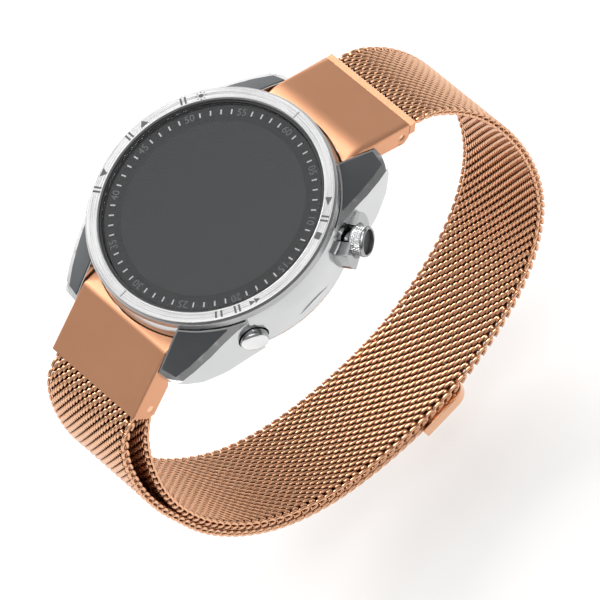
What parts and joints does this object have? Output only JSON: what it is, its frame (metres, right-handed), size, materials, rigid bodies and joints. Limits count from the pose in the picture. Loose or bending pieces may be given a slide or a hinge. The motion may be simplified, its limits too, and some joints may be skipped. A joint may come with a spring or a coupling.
{
  "type": "smartwatch",
  "caption": "Round sports smartwatch head with side push buttons and lugs, on a closed woven-wire loop strap with block adapters and a magnetic clasp.",
  "frame": {"origin": "centre of the sensor window's flat face, where the case back rests on the wrist", "axes": "+Z out of the dial, +Y towards 12 o'clock, +X towards 3 o'clock"},
  "size_m": [0.0451, 0.0843, 0.0832],
  "materials": {
    "satin_steel": "fine satin brush with polished edges",
    "brushed_steel": "circular brush, bright chamfers",
    "polished_steel": "polished",
    "spring_steel": "plain",
    "lens": "clear mineral glass, polished",
    "window_glass": "dark tinted window",
    "black_rubber": "matte seal",
    "black_polymer": "fibre-filled polymer, fine grain",
    "dial_ring": "dark grey print, matte",
    "display": "unlit reflective display",
    "slate_inlay": "slate grey moulded polymer, satin",
    "circuit_board": "solder mask",
    "cell_foil": "foil pouch",
    "gold_contact": "plated",
    "led_lens": "clear epoxy",
    "rose_matte": "bead-blasted rose gold plating",
    "rose_steel": "polished rose gold plating",
    "rose_mesh": "woven wire, polished rose gold plating",
    "magnet": "nickel plated"
  },
  "bodies": {
    "case": {"mid_case": "satin_steel", "bezel_ring": "brushed_steel", "glass_lens": "lens", "glass_gasket": "black_rubber", "bezel_gasket": "black_rubber", "minute_ring": "dial_ring", "display_panel": "display", "display_frame": "black_polymer", "antenna_ring": "gold_contact", "main_board": "circuit_board", "board_chips": "black_polymer", "button_switches": "spring_steel", "battery": "cell_foil", "vibration_motor": "spring_steel", "beeper": "gold_contact", "case_back": "black_polymer", "back_gasket": "black_rubber", "back_screws": "polished_steel", "sensor_window": "window_glass", "sensor_board": "circuit_board", "sensor_leds": "led_lens", "charge_port": "black_polymer", "charge_contacts": "gold_contact", "lug_inlays": "slate_inlay", "lug_pins": "polished_steel", "start_guard": "polished_steel", "button_bushings": "gold_contact", "button_seals": "black_rubber", "button_springs": "spring_steel", "adapter_12": "rose_matte", "adapter_6": "rose_matte", "latch_springs": "spring_steel", "hinge_pin": "rose_steel", "end_clip": "rose_matte", "loop_bar": "rose_steel", "mesh_strap": "rose_mesh"},
    "start_body": {"start_button": "polished_steel", "start_clip": "spring_steel"},
    "back_body": {"back_button": "polished_steel", "back_clip": "spring_steel"},
    "down_body": {"down_button": "polished_steel", "down_clip": "spring_steel"},
    "up_body": {"up_button": "polished_steel", "up_clip": "spring_steel"},
    "light_body": {"light_button": "polished_steel", "light_clip": "spring_steel"},
    "latch_12_body": {"latch_12": "rose_steel"},
    "latch_6_body": {"latch_6": "rose_steel"},
    "tail": {"mesh_tail": "rose_mesh", "clasp_plate": "rose_steel", "clasp_magnet": "magnet", "clasp_cover": "rose_matte"}
  },
  "joints": [
    {"name": "start_press", "type": "slide", "parent": "case", "child": "start_body", "axis": [-0.866, -0.5, 0], "range_m": [0, 0.0006], "stiffness_N_per_m": 2500, "springref_m": -0.0004},
    {"name": "back_press", "type": "slide", "parent": "case", "child": "back_body", "axis": [-0.866, 0.5, 0], "range_m": [0, 0.0006], "stiffness_N_per_m": 2500, "springref_m": -0.0004},
    {"name": "down_press", "type": "slide", "parent": "case", "child": "down_body", "axis": [0.866, 0.5, 0], "range_m": [0, 0.0006], "stiffness_N_per_m": 2500, "springref_m": -0.0004},
    {"name": "up_press", "type": "slide", "parent": "case", "child": "up_body", "axis": [1, 0, 0], "range_m": [0, 0.0006], "stiffness_N_per_m": 2500, "springref_m": -0.0004},
    {"name": "light_press", "type": "slide", "parent": "case", "child": "light_body", "axis": [0.866, -0.5, 0], "range_m": [0, 0.0006], "stiffness_N_per_m": 2500, "springref_m": -0.0004},
    {"name": "latch_12_slide", "type": "slide", "parent": "case", "child": "latch_12_body", "axis": [0, 0.866, -0.5], "range_m": [0, 0.0012], "stiffness_N_per_m": 400, "springref_m": -0.0008},
    {"name": "latch_6_slide", "type": "slide", "parent": "case", "child": "latch_6_body", "axis": [0, -0.8387, -0.5446], "range_m": [0, 0.0012], "stiffness_N_per_m": 400, "springref_m": -0.0008},
    {"name": "clasp_peel", "type": "hinge", "parent": "case", "child": "tail", "pos_m": [0, -0.01493, -0.06237], "axis": [-1, 0, 0], "range_deg": [0, 65]}
  ]
}
